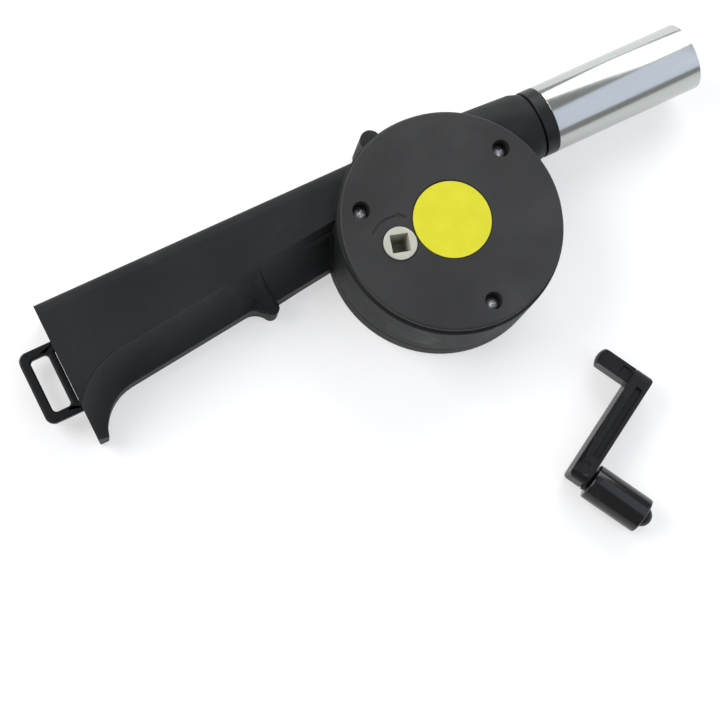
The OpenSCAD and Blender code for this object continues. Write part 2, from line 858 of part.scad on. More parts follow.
// Impeller: swept blades that hang from a back plate, open towards the intake grille
module impeller() {
    top = plate_bottom - 0.9;
    low = floor_t + 1.5;
    hub_low = rear_hub_h + pass + washer_t;
    color([0.2, 0.2, 0.21])
    difference() {
        union() {
            translate([0, 0, top - back_t])
                cylinder(r = fan_r, h = back_t);
            translate([0, 0, hub_low])
                cylinder(r = hub_fan_r, h = top - hub_low);
            for (k = [0:blade_n - 1])
                rotate([0, 0, 360 / blade_n * k])
                    translate([blade_c[0], blade_c[1], low])
                        rotate_extrude(angle = blade_a1 - blade_a0, start = blade_a0)
                            translate([blade_bow - blade_t / 2, 0])
                                square([blade_t, top - low - weld]);
        }
        translate([0, 0, low])
            cylinder(r = shaft_r, h = body_h);
    }
}

module bush(z) {
    color([0.72, 0.55, 0.3])
    translate([0, 0, z])
        difference() {
            cylinder(r = bush_r, h = bush_l - 0.5);
            translate([0, 0, -cut])
                cylinder(r = shaft_r + run, h = bush_l + 2 * cut);
        }
}

module front_bush() {
    bush(body_h - bush_l - 1);
}

module rear_bush() {
    bush(rear_hub_h - bush_l + 0.5);
}

// Collar: a ring between neck and tube, with a spigot into each of them
module nozzle_collar() {
    color([0.1, 0.1, 0.11])
    difference() {
        union() {
            along_nozzle(neck_end + collar_gap, tube_r, collar_l);
            along_nozzle(neck_end - spigot_l + slip, seat_r - slip, collar_gap + collar_l + 2 * spigot_l);
        }
        along_nozzle(neck_end - spigot_l - cut, seat_r - slip - spigot_t,
                     collar_gap + collar_l + 2 * spigot_l + 3 * cut);
    }
}

// Metal tube: its rear end is folded in to a double wall, which grips the collar's spigot
module nozzle_tube() {
    start = neck_end + collar_gap + collar_l;
    color([0.8, 0.82, 0.83])
    difference() {
        along_nozzle(start, tube_r, tube_end - start);
        along_nozzle(start - cut, seat_r, tube_end - start);
        along_nozzle(start + seat_l, tube_r - tube_t, tube_end - start);
    }
}

module rounded_plate(size, r, h) {
    linear_extrude(height = h)
        translate([r, r])
            union() {
                translate([-r, 0])
                    square([size[0], size[1] - 2 * r]);
                translate([0, -r])
                    square([size[0] - 2 * r, size[1]]);
                for (x = [0, size[0] - 2 * r], y = [0, size[1] - 2 * r])
                    translate([x, y])
                        circle(r = r, $fn = 32);
            }
}

// Hanging loop: a flat moulded frame whose two feet are held between the shells
module hanging_loop() {
    foot = wall + slip;
    barb = 1.6;
    barb_over = 0.8;
    tuck = 1;
    over = 4;
    round_out = 3.6;
    round_in = 1.6;
    butt_gap = 0.2;
    color([0.12, 0.12, 0.13])
    translate([butt_at(parting_h), loop_y - loop_l / 2, parting_h - loop_t / 2]) {
        difference() {
            translate([-loop_out, 0, 0])
                rounded_plate([loop_out + over, loop_l], round_out, loop_t);
            translate([-loop_out + loop_bar, loop_bar, -cut])
                rounded_plate([loop_out - loop_bar - loop_root, loop_l - 2 * loop_bar], round_in,
                              loop_t + 2 * cut);
            translate([-butt_gap, -cut, -cut])
                cube([over + cut, loop_l + 2 * cut, loop_t + 2 * cut]);
        }
        for (y = [0, loop_l - loop_bar])
            translate([-tuck, y, 0])
                cube([tuck + foot + barb, loop_bar, loop_t]);
        for (y = [0, loop_l - loop_bar])
            translate([foot, y - barb_over, 0])
                cube([barb, loop_bar + 2 * barb_over, loop_t]);
    }
}

// Crank frame: peg axis at the origin, arm along +X, grip towards +Y, peg towards -Y
module crank_place() {
    translate([crank_x, crank_y, grip_r])
        rotate([0, 0, crank_turn])
            children();
}

module across(x, y, r, h) {
    translate([x, y, 0])
        rotate([-90, 0, 0])
            cylinder(r = r, h = h);
}

// Side view of the arm: a bar with rounded corners, which ends just past the peg and the pin
module arm_side() {
    low = -arm_over + arm_round;
    high = arm_l + arm_over + pin_over - arm_round;
    rise = arm_w / 2 - arm_round;
    translate([low - arm_round, -rise])
        square([high - low + 2 * arm_round, 2 * rise]);
    translate([low, -arm_w / 2])
        square([high - low, arm_w]);
    for (x = [low, high], z = [-rise, rise])
        translate([x, z])
            circle(r = arm_round);
}

// Groove along the top and the bottom of the arm, which leaves a thin rim on the grip's side
module arm_groove(side) {
    translate([arm_over, arm_t / 2 - groove_rim - groove_w, side * arm_w / 2 - groove_d])
        cube([arm_l - 2 * arm_over - pin_r, groove_w, 2 * groove_d]);
}

// Square peg, with its end rounded to a dome and a small pocket in its upper face
module crank_peg() {
    tip_r = peg_w;
    pocket_l = 4;
    pocket_d = 0.7;
    difference() {
        translate([-peg_w / 2, -arm_t / 2 - peg_l, -peg_w / 2])
            cube([peg_w, peg_l + weld, peg_w]);
        difference() {
            translate([-peg_w, -arm_t / 2 - peg_l - cut, -peg_w])
                cube([2 * peg_w, peg_w / 2 + cut, 2 * peg_w]);
            translate([0, -arm_t / 2 - peg_l + tip_r, 0])
                sphere(r = tip_r);
        }
        translate([-peg_w / 4, -arm_t / 2 - pocket_l - 0.6, peg_w / 2 - pocket_d])
            cube([peg_w / 2, pocket_l, pocket_d + cut]);
    }
}

// Crank arm: a deep bar with a groove in its edges, a square peg, and the grip's pin
module crank_arm() {
    mark_r = 2.4;
    color([0.1, 0.1, 0.11])
    crank_place()
        difference() {
            union() {
                intersection() {
                    translate([0, arm_t / 2, 0])
                        rotate([90, 0, 0])
                            linear_extrude(height = arm_t)
                                arm_side();
                    translate([-arm_over, -arm_t / 2, -arm_w])
                        rounded_plate([arm_l + 2 * arm_over + pin_over, arm_t], arm_corner, 2 * arm_w);
                }
                crank_peg();
                across(arm_l, arm_t / 2 - weld, pin_r + 1.8, pin_shoulder + weld);
                across(arm_l, arm_t / 2, pin_r, head_y + snap_l - snap_dome - arm_t / 2);
                across(arm_l, head_y, snap_r, snap_l - snap_dome);
                intersection() {
                    translate([arm_l, head_y + snap_l - dome_r, 0])
                        sphere(r = dome_r);
                    across(arm_l, head_y + snap_l - snap_dome - slip, snap_r, snap_dome + cut);
                }
            }
            for (side = [-1, 1])
                arm_groove(side);
            translate([arm_l - 1, -arm_t / 2 + groove_rim + mark_r - 0.4, arm_w / 2 - 0.3])
                cylinder(r = mark_r, h = cut);
        }
}

// Grip: a sleeve that turns on the pin, with a hollow end for the snap head
module crank_grip() {
    color([0.07, 0.07, 0.08])
    crank_place()
        difference() {
            union() {
                across(arm_l, grip_y0 + 0.6, grip_r, grip_l - 1.2);
                translate([arm_l, grip_y0, 0])
                    rotate([-90, 0, 0])
                        cylinder(r1 = grip_r - 0.6, r2 = grip_r, h = 0.6);
                translate([arm_l, grip_y0 + grip_l - 0.6, 0])
                    rotate([-90, 0, 0])
                        cylinder(r1 = grip_r, r2 = grip_r - 0.6, h = 0.6);
            }
            across(arm_l, grip_y0 - cut, pin_r + run, grip_l + 2 * cut);
            across(arm_l, grip_y0 + grip_l - head_recess, grip_r - 1.4, head_recess + cut);
        }
}

body_shell();
rear_cover();
front_cover();
label_disc();
cover_screws();
case_screws();
gear_plate();
plate_screws();
drive_gear();
compound_gear();
compound_axle();
compound_washer();
fan_pinion();
fan_shaft();
fan_washer();
impeller();
front_bush();
rear_bush();
nozzle_collar();
nozzle_tube();
hanging_loop();
crank_arm();
crank_grip();
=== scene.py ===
import json
import math

import bmesh
import bpy
from mathutils import Matrix, Quaternion, Vector


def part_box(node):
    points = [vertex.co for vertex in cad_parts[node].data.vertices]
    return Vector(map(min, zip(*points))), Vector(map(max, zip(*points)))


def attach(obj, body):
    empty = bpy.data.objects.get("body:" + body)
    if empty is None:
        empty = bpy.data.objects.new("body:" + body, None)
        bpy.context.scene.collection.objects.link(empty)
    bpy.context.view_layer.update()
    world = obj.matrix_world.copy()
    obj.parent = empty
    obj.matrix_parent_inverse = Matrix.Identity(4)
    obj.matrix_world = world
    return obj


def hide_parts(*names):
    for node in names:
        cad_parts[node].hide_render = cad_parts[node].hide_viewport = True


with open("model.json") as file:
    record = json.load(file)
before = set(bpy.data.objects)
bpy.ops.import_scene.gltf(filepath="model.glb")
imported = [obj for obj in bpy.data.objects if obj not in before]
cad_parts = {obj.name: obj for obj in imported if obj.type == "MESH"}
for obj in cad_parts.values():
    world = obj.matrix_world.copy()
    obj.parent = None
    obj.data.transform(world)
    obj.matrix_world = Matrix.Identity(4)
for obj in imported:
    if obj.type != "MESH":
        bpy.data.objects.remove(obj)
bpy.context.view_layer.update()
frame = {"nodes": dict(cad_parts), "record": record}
nodes = frame["nodes"]
MM = 0.001
SAME_POINT = 0.002

# Front shell and rear cover. Two injection moulded shells of black filled plastic that meet 8.5 mm
# above the table and are screwed together from behind. The mould's fine spark texture makes them matt.


class Wire:
    """A shader socket that arithmetic can be written on."""

    def __init__(self, finish, socket):
        self.finish = finish
        self.socket = socket

    def math(self, operation, *values):
        return self.finish.node("ShaderNodeMath", {"operation": operation}, dict(enumerate(values)))

    def __add__(self, other):
        return self.math("ADD", self, other)

    def __mul__(self, other):
        return self.math("MULTIPLY", self, other)

    def __sub__(self, other):
        return self.math("SUBTRACT", self, other)

    def __rsub__(self, other):
        return self.math("SUBTRACT", other, self)

    __radd__ = __add__

    def rise(self, low, high):
        """0 below low and 1 above high, with a smooth step between them."""
        settings = {"interpolation_type": "SMOOTHSTEP"}
        values = {"Value": self, "From Min": low, "From Max": high}
        return self.finish.node("ShaderNodeMapRange", settings, values)

    def line(self, middle, half, soft):
        """1 where the value is within half of middle, and 0 farther off."""
        return 1 - self.math("ABSOLUTE", self - middle).rise(half, half + soft)


class Finish:
    """A material whose nodes are written as expressions."""

    def __init__(self, name, **shader):
        self.material = bpy.data.materials.new(name)
        self.material.use_nodes = True
        self.tree = self.material.node_tree
        self.shader = self.tree.nodes["Principled BSDF"]
        for socket, value in shader.items():
            self.shader.inputs[socket.replace("_", " ")].default_value = value
        self.place = self.node("ShaderNodeTexCoord", {}, {}, "Object")

    def node(self, kind, settings, values, out=0):
        node = self.tree.nodes.new(kind)
        for name, value in settings.items():
            if name == "stops":
                ramp = node.color_ramp
                while len(ramp.elements) < len(value):
                    ramp.elements.new(1.0)
                for element, (position, colour) in zip(ramp.elements, value):
                    element.position = position
                    element.color = (*colour, 1)
            else:
                setattr(node, name, value)
        for name, value in values.items():
            self.feed(node.inputs[name], value)
        return Wire(self, node.outputs[out])

    def feed(self, socket, value):
        if isinstance(value, Wire):
            self.tree.links.new(value.socket, socket)
        elif isinstance(value, tuple) and len(value) == 3 and socket.type == "RGBA":
            socket.default_value = (*value, 1)
        else:
            socket.default_value = value

    def noise(self, size, detail=2.0, stretch=(1, 1, 1), rough=0.5, warp=0.0):
        """Noise from 0 to 1 whose cells are about this many millimetres wide."""
        place = self.node("ShaderNodeMapping", {}, {"Vector": self.place, "Scale": stretch})
        values = {"Vector": place, "Scale": 1 / (size * MM), "Detail": detail,
                  "Roughness": rough, "Distortion": warp}
        return self.node("ShaderNodeTexNoise", {}, values, "Fac")

    def axis(self, letter):
        """One coordinate of the row frame, in millimetres."""
        return self.node("ShaderNodeSeparateXYZ", {}, {"Vector": self.place}, letter) * (1 / MM)

    def mix(self, amount, low, high):
        settings = {"data_type": "RGBA", "clamp_factor": True}
        mix = self.tree.nodes.new("ShaderNodeMix")
        for name, value in settings.items():
            setattr(mix, name, value)
        self.feed(mix.inputs[0], amount)
        self.feed(mix.inputs[6], low)
        self.feed(mix.inputs[7], high)
        return Wire(self, mix.outputs[2])

    def show(self, colour=None, rough=None, height=None, depth=0.1, strength=1.0, **others):
        if colour is not None:
            self.feed(self.shader.inputs["Base Color"], colour)
        if rough is not None:
            self.feed(self.shader.inputs["Roughness"], rough)
        if height is not None:
            values = {"Height": height, "Distance": depth * MM, "Strength": strength}
            self.feed(self.shader.inputs["Normal"], self.node("ShaderNodeBump", {}, values))
        for name, value in others.items():
            self.feed(self.shader.inputs[name.replace("_", " ")], value)
        return self.material


def black_moulding(name, base, rough, grain, parting=None):
    """Black moulded plastic: fine spark texture, faint flow marks, dust, and rubbed patches."""
    finish = Finish(name, Specular_IOR_Level=0.2)
    fine = finish.noise(0.35, 2)
    coarse = finish.noise(9, 3)
    wide = finish.noise(38, 2, warp=0.4)
    rubbed = finish.noise(22, 4, rough=0.65).rise(0.56, 0.74)
    dust = finish.noise(1.2, 3, rough=0.7).rise(0.6, 0.8) * finish.noise(30, 2).rise(0.45, 0.7)
    lifted = tuple(c * 1.35 + 0.002 for c in base)
    pale = tuple(c + 0.03 for c in base)
    colour = finish.mix(wide.rise(0.3, 0.7), base, lifted)
    colour = finish.mix(rubbed * 0.3, colour, pale)
    colour = finish.mix(dust * 0.25, colour, (0.16, 0.16, 0.15))
    height = fine * grain + coarse * 0.25
    gloss = rough + (coarse - 0.5) * 0.12 - rubbed * 0.1 + dust * 0.15
    if parting is not None:
        seam = finish.axis("Z").line(parting, 0.1, 0.14)
        colour = finish.mix(seam * 0.9, colour, (0.004, 0.004, 0.004))
        height = height - seam * 3.0
    return finish.show(colour, gloss, height, 0.05, 0.55)


def dressed(node, width, steps=2, limit=32, room=0.6):
    """A copy of a node's solid with its large faces split into even triangles and its edges rounded.

    An edge stays sharp where a face beside it is narrower than room times the width. So does every
    edge that meets such an edge.
    """
    shape = bmesh.new()
    shape.from_mesh(nodes[node].data)
    bmesh.ops.remove_doubles(shape, verts=shape.verts, dist=SAME_POINT * MM)
    bmesh.ops.dissolve_limit(shape, angle_limit=math.radians(0.5), verts=shape.verts, edges=shape.edges)
    large = [face for face in shape.faces if len(face.verts) > 4]
    bmesh.ops.triangulate(shape, faces=large, quad_method="BEAUTY", ngon_method="BEAUTY")
    weight = shape.edges.layers.float.new("bevel_weight_edge")
    sharp = [edge for edge in shape.edges if edge.calc_face_angle(0) > math.radians(limit)]
    tight = [edge for edge in sharp
             if min(face.calc_area() for face in edge.link_faces) < room * width * MM * edge.calc_length()]
    ends = {vert for edge in tight for vert in edge.verts}
    for edge in sharp:
        edge[weight] = float(ends.isdisjoint(edge.verts))
    mesh = bpy.data.meshes.new(node + "_piece")
    shape.to_mesh(mesh)
    shape.free()
    piece = bpy.data.objects.new(node + "_piece", mesh)
    bpy.context.scene.collection.objects.link(piece)
    return eased(piece, width, steps, limit)


def eased(piece, width, steps, limit):
    """The piece with every edge sharper than the limit rounded to a width in millimetres."""
    bevel = piece.modifiers.new("edges", "BEVEL")
    bevel.width = width * MM
    bevel.segments = steps
    bevel.limit_method = "WEIGHT" if "bevel_weight_edge" in piece.data.attributes else "ANGLE"
    bevel.angle_limit = math.radians(limit)
    bevel.use_clamp_overlap = False
    bevel.miter_outer = "MITER_ARC"
    for face in piece.data.polygons:
        face.use_smooth = True
    flat = piece.modifiers.new("normals", "WEIGHTED_NORMAL")
    flat.keep_sharp = True
    flat.weight = 80
    piece.data.set_sharp_from_angle(angle=math.radians(limit))
    return plain(piece)


def plain(piece):
    """The piece with its modifiers worked into its mesh."""
    bpy.context.view_layer.update()
    done = bpy.data.meshes.new_from_object(piece.evaluated_get(bpy.context.evaluated_depsgraph_get()))
    piece.modifiers.clear()
    piece.data = done
    return piece


def fitted(piece, material, body, slot, *replaced):
    piece.data.materials.clear()
    piece.data.materials.append(material)
    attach(piece, body)
    if replaced:
        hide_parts(*replaced)
    return piece


PARTING = 8.5
shell_black = black_moulding("shell_black", (0.0075, 0.0085, 0.009), 0.58, 1.0, PARTING)
for shell, room in (("body_shell", 1.0), ("rear_cover", 0.6)):
    fitted(dressed(shell, 0.35, room=room), shell_black, "housing", "shell_plastic", shell)

# Hanging loop. A flat frame moulded in the same black plastic, held by its two feet between the shells.

loop_black = black_moulding("loop_black", (0.006, 0.007, 0.008), 0.45, 0.8)
fitted(dressed("hanging_loop", 0.7, 3, room=0), loop_black, "housing", "shell_plastic", "hanging_loop")

# Front cover. A thick moulded disc, polished in the mould, with three deep screw wells and an arrow
# engraved about the socket that gives the turning direction.

cover_black = black_moulding("cover_black", (0.026, 0.026, 0.026), 0.5, 0.3)
fitted(dressed("front_cover", 0.3), cover_black, "housing", "cover_plastic", "front_cover")

# Label. A round of plain yellow film stuck into its recess, with a slightly raised cut edge.

label_film = Finish("label_film", Specular_IOR_Level=0.3, Coat_Weight=0.1, Coat_Roughness=0.2)
mottle = label_film.noise(5, 3)
fleck = label_film.noise(0.6, 2).rise(0.66, 0.8)
yellow = label_film.mix(mottle.rise(0.25, 0.75), (0.59, 0.565, 0.018), (0.63, 0.6, 0.024))
yellow = label_film.mix(fleck * 0.25, yellow, (0.5, 0.45, 0.02))
label_film.show(yellow, 0.32 + mottle * 0.12, label_film.noise(1.4, 3), 0.03, 0.5)
fitted(dressed("label_disc", 0.12), label_film.material, "housing", "label_film", "label_disc")

# Drive gear. Turned and moulded in natural nylon: ivory, slightly waxy, with the square socket that
# the crank's peg goes into. Greasy dust gathers in the socket.

ivory = Finish("ivory_nylon", Subsurface_Weight=0.15, Subsurface_Scale=0.002)
cloud = ivory.noise(4, 3)
grime = ivory.noise(1.5, 4, rough=0.7).rise(0.52, 0.8)
cream = ivory.mix(cloud, (0.41, 0.41, 0.345), (0.475, 0.475, 0.4))
cream = ivory.mix(grime * 0.35, cream, (0.38, 0.345, 0.25))
ivory.show(cream, 0.36 + cloud * 0.16, ivory.noise(0.7, 3), 0.04, 0.5)
fitted(dressed("drive_gear", 0.12), ivory.material, "drive", "nylon_ivory", "drive_gear")
fitted(dressed("compound_gear", 0.06, 1), ivory.material, "compound", "nylon_ivory", "compound_gear")
fitted(dressed("fan_washer", 0.08, 1), ivory.material, "fan", "nylon_ivory", "fan_washer")

# Screws. Zinc plated steel pan heads with a cross recess, sunk in wells in front and in seats
# behind. They repeat, so one tree of Geometry Nodes makes a screw and sets a copy at each place.


class Growth:
    """A tree of Geometry Nodes whose sizes are named inputs, in millimetres."""

    def __init__(self, name):
        self.tree = bpy.data.node_groups.new(name, "GeometryNodeTree")
        for side in ("INPUT", "OUTPUT"):
            self.tree.interface.new_socket("Geometry", in_out=side, socket_type="NodeSocketGeometry")
        self.given = self.tree.nodes.new("NodeGroupInput")
        self.sockets = {}

    def size(self, name):
        socket = self.tree.interface.new_socket(name, in_out="INPUT", socket_type="NodeSocketFloat")
        self.sockets[name] = socket.identifier
        return self.given.outputs[name]

    def node(self, kind, values, out=0, **settings):
        node = self.tree.nodes.new("GeometryNode" + kind if "Node" not in kind else kind)
        for name, value in settings.items():
            setattr(node, name, value)
        for key, value in values.items():
            for one in value if isinstance(value, list) else [value]:
                if isinstance(one, bpy.types.NodeSocket):
                    self.tree.links.new(one, node.inputs[key])
                else:
                    node.inputs[key].default_value = one
        return node.outputs[out]

    def math(self, operation, *values):
        return self.node("ShaderNodeMath", dict(enumerate(values)), operation=operation)

    def vector(self, x=0.0, y=0.0, z=0.0):
        return self.node("ShaderNodeCombineXYZ", {0: x, 1: y, 2: z})

    def moved(self, geometry, move=None, turn=None, scale=None):
        values = {"Geometry": geometry, "Translation": move, "Rotation": turn, "Scale": scale}
        return self.node("GeometryNodeTransform", {name: v for name, v in values.items() if v is not None})

    def end(self, geometry, material):
        solid = self.node("RealizeInstances", {"Geometry": geometry})
        solid = self.node("SetMaterial", {"Geometry": solid, "Material": material})
        self.tree.links.new(solid, self.tree.nodes.new("NodeGroupOutput").inputs[0])

    def grow(self, name, places, sizes):
        """The tree worked into a plain mesh, with one copy at each place."""
        mesh = bpy.data.meshes.new(name)
        mesh.from_pydata(places, [], [])
        piece = bpy.data.objects.new(name, mesh)
        bpy.context.scene.collection.objects.link(piece)
        modifier = piece.modifiers.new("growth", "NODES")
        modifier.node_group = self.tree
        for size, value in sizes.items():
            modifier[self.sockets[size]] = value * MM
        return plain(piece)


def solids(node):
    """Lowest and highest corner of each separate solid of a node."""
    shape = bmesh.new()
    shape.from_mesh(nodes[node].data)
    bmesh.ops.remove_doubles(shape, verts=shape.verts, dist=SAME_POINT * MM)
    left = set(shape.verts)
    boxes = []
    while left:
        group = [left.pop()]
        for vert in group:
            near = {edge.other_vert(vert) for edge in vert.link_edges} & left
            left -= near
            group.extend(near)
        boxes.append([Vector([pick(vert.co[axis] for vert in group) for axis in range(3)])
                      for pick in (min, max)])
    shape.free()
    return sorted(boxes, key=lambda box: tuple(box[0]))


zinc = Finish("zinc_plate", Metallic=0.9)
swirl = zinc.noise(0.5, 3, (1, 1, 5))
stain = zinc.noise(1.6, 3).rise(0.5, 0.75)
bright = zinc.mix(swirl, (0.84, 0.85, 0.86), (0.96, 0.97, 0.98))
bright = zinc.mix(stain * 0.3, bright, (0.4, 0.37, 0.33))
zinc.show(bright, 0.3 + stain * 0.25, swirl, 0.02, 0.5)

screw = Growth("pan_head_screw")
head_r, head_h = screw.size("Head radius"), screw.size("Head height")
shank_r, shank_l = screw.size("Shank radius"), screw.size("Shank length")
pitch, wing_w = screw.size("Thread pitch"), screw.size("Wing width")
flip = screw.size("Turned over")
recess = screw.math("MULTIPLY", head_h, 0.62)
crown = screw.math("MULTIPLY", head_r, 1.12)
barrel = screw.node("MeshCylinder", {"Vertices": 48, "Radius": head_r, "Depth": head_h})
barrel = screw.moved(barrel, move=screw.vector(z=screw.math("MULTIPLY", head_h, 0.5)))
dome = screw.node("MeshUVSphere", {"Segments": 48, "Rings": 24, "Radius": 1.0})
dome = screw.moved(dome, scale=screw.vector(crown, crown, head_h))
head = screw.node("MeshBoolean", {1: [barrel, dome]}, operation="INTERSECT", solver="EXACT")
wing_tip = screw.math("MULTIPLY", head_r, 0.86)
wing_root = screw.math("MULTIPLY", head_r, 0.5)
wing = {"Vertices": 4, "Radius Top": wing_tip, "Radius Bottom": wing_root, "Depth": recess}
wing = screw.moved(screw.node("MeshCone", wing), turn=screw.vector(z=math.radians(45)))
narrow = screw.vector(1.0, screw.math("DIVIDE", wing_w, wing_tip), 1.0)
lift = screw.vector(z=screw.math("SUBTRACT", screw.math("ADD", head_h, 0.02 * MM), recess))
cross = [screw.moved(screw.moved(wing, scale=narrow), move=lift, turn=screw.vector(z=math.radians(turn)))
         for turn in (0, 90)]
head = screw.node("MeshBoolean", {0: head, 1: cross}, operation="DIFFERENCE", solver="EXACT")
core_r = screw.math("MULTIPLY", shank_r, 0.8)
core = screw.node("MeshCylinder", {"Vertices": 24, "Radius": core_r, "Depth": shank_l})
core = screw.moved(core, move=screw.vector(z=screw.math("MULTIPLY", shank_l, -0.5)))
ridge_h = screw.math("MULTIPLY", pitch, 0.7)
ridge = {"Vertices": 24, "Radius Top": core_r, "Radius Bottom": shank_r, "Depth": ridge_h}
down = screw.vector(z=screw.math("MULTIPLY", pitch, -1.0))
turns = screw.math("DIVIDE", shank_l, pitch)
line = screw.node("MeshLine", {"Count": turns, "Start Location": down, "Offset": down})
thread = screw.node("InstanceOnPoints", {"Points": line, "Instance": screw.node("MeshCone", ridge)})
whole = screw.node("JoinGeometry", {"Geometry": [head, core, thread]})
spin = screw.node("FunctionNodeRandomValue", {2: 0.0, 3: math.pi, "Seed": 7}, 1, data_type="FLOAT")
over = screw.math("MULTIPLY", flip, math.pi / MM)
turn = screw.node("FunctionNodeEulerToRotation", {0: screw.vector(over, 0.0, spin)})
copies = {"Points": screw.given.outputs["Geometry"], "Instance": whole, "Rotation": turn}
screw.end(screw.node("InstanceOnPoints", copies), zinc.material)

HEAD_H = 1.8
SHANK_R = 1.4
for screws, over in (("cover_screws", 0), ("case_screws", 1), ("plate_screws", 1)):
    boxes = solids(screws)
    low, high = boxes[0]
    sizes = {"Head radius": (high.x - low.x) / 2 / MM, "Head height": HEAD_H, "Shank radius": SHANK_R,
             "Shank length": (high.z - low.z) / MM - HEAD_H, "Thread pitch": 0.9, "Wing width": 0.62,
             "Turned over": over}
    seat = low.z + HEAD_H * MM if over else high.z - HEAD_H * MM
    places = [((a.x + b.x) / 2, (a.y + b.y) / 2, seat) for a, b in boxes]
    piece = eased(screw.grow(screws + "_piece", places, sizes), 0.06, 1, 35)
    fitted(piece, zinc.material, "housing", "screw_steel", screws)

# Nozzle collar. A black moulded ring between the neck and the tube, slightly glossier than the shells.

collar_black = black_moulding("collar_black", (0.008, 0.009, 0.01), 0.36, 0.4)
fitted(dressed("nozzle_collar", 0.3), collar_black, "housing", "cover_plastic", "nozzle_collar")

# Nozzle tube. Thin steel tube, rolled and nickel plated, with faint draw lines along it and a little
# smoke near its open end. Its wall is a rounded strip swept round by Geometry Nodes, with its rear
# end folded in to a double wall on the collar's spigot.

plated = Finish("nickel_plate", Metallic=1.0)
lines = plated.noise(0.25, 2, (0.02, 1, 1))
haze = plated.noise(14, 3, (0.4, 1, 1))
smear = plated.noise(3, 4, (0.5, 1, 1), 0.65).rise(0.55, 0.8)
steel = plated.mix(haze, (0.43, 0.455, 0.435), (0.48, 0.5, 0.485))
steel = plated.mix(smear * 0.15, steel, (0.5, 0.5, 0.47))
soot = plated.noise(6, 4).rise(0.4, 0.9) * plated.axis("X").rise(104, 124)
steel = plated.mix(soot * 0.25, steel, (0.3, 0.27, 0.22))
plated.show(steel, 0.14 + lines * 0.07 + smear * 0.1 + soot * 0.1, lines, 0.012, 0.5)

tube_low, tube_high = (Vector(corner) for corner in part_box("nozzle_tube"))
bore = next(mount for mount in frame["record"]["mounts"] if mount["name"] == "nozzle_bore")["dims"]
tube_r = (tube_high.y - tube_low.y) / 2 / MM
tube_l = (tube_high.x - tube_low.x) / MM
sweep = Growth("folded_tube")
radius, wall, soft = sweep.size("Radius"), sweep.size("Wall"), sweep.size("Edge radius")
walls = []
for layer, length, middle in ((0.5, sweep.size("Length"), 0.5), (1.5, sweep.size("Fold length"), 0.5)):
    around = sweep.math("SUBTRACT", radius, sweep.math("MULTIPLY", wall, layer))
    path = sweep.node("CurvePrimitiveCircle", {"Resolution": 160, "Radius": around})
    strip = sweep.node("CurvePrimitiveQuadrilateral", {"Width": wall, "Height": length})
    corner = {"Curve": strip, "Radius": soft, "Limit Radius": True, "Count": 4}
    strip = sweep.node("FilletCurve", corner, mode="POLY")
    ring = sweep.node("CurveToMesh", {"Curve": path, "Profile Curve": strip})
    lift = sweep.vector(z=sweep.math("MULTIPLY", length, middle))
    walls.append(sweep.moved(ring, move=lift))
both = sweep.node("JoinGeometry", {"Geometry": walls})
laid = sweep.moved(both, turn=sweep.vector(y=math.radians(90)))
copies = {"Points": sweep.given.outputs["Geometry"], "Instance": laid}
sweep.end(sweep.node("InstanceOnPoints", copies), plated.material)
start = (tube_low.x, (tube_low.y + tube_high.y) / 2, (tube_low.z + tube_high.z) / 2)
sizes = {"Radius": tube_r, "Wall": tube_r - bore["r_mm"], "Edge radius": 0.2,
         "Length": tube_l, "Fold length": tube_l - bore["length_mm"]}
tube = sweep.grow("nozzle_tube_piece", [start], sizes)
tube.data.set_sharp_from_angle(angle=math.radians(50))
fitted(tube, plated.material, "housing", "tube_steel", "nozzle_tube")

# Crank arm. One moulding of black nylon: arm with a channel, square peg and the pin of the grip.

arm_black = black_moulding("arm_black", (0.006, 0.006, 0.007), 0.34, 0.6)
fitted(dressed("crank_arm", 0.25), arm_black, "crank", "crank_plastic", "crank_arm")

# Crank grip. A glossy black sleeve, turned round its pin, with soft edges and a hollow end in which
# the pin's snap head sits. It turns freely.


def turned(name, outline, start, along, sides=96):
    """A body of revolution from a closed outline of (distance along the axis, radius), in millimetres."""
    turn = along.to_track_quat("Z", "Y").to_matrix()
    points = []
    for far, radius in outline:
        for side in range(sides):
            angle = math.tau * side / sides
            spoke = Vector((radius * math.cos(angle), radius * math.sin(angle), far))
            points.append(start + turn @ spoke * MM)
    faces = []
    for ring in range(len(outline)):
        here, there = ring * sides, (ring + 1) % len(outline) * sides
        for side in range(sides):
            step = (side + 1) % sides
            faces.append((here + side, here + step, there + step, there + side))
    mesh = bpy.data.meshes.new(name)
    mesh.from_pydata(points, [], faces)
    shape = bmesh.new()
    shape.from_mesh(mesh)
    bmesh.ops.recalc_face_normals(shape, faces=shape.faces)
    shape.to_mesh(mesh)
    shape.free()
    for face in mesh.polygons:
        face.use_smooth = True
    mesh.set_sharp_from_angle(angle=math.radians(40))
    piece = bpy.data.objects.new(name, mesh)
    bpy.context.scene.collection.objects.link(piece)
    return piece


def rounded(far, radius, size, first, last, steps=5):
    """Points on a quarter round about a centre, for an outline."""
    turns = [math.radians(first + (last - first) * step / steps) for step in range(steps + 1)]
    return [(far + size * math.cos(turn), radius + size * math.sin(turn)) for turn in turns]


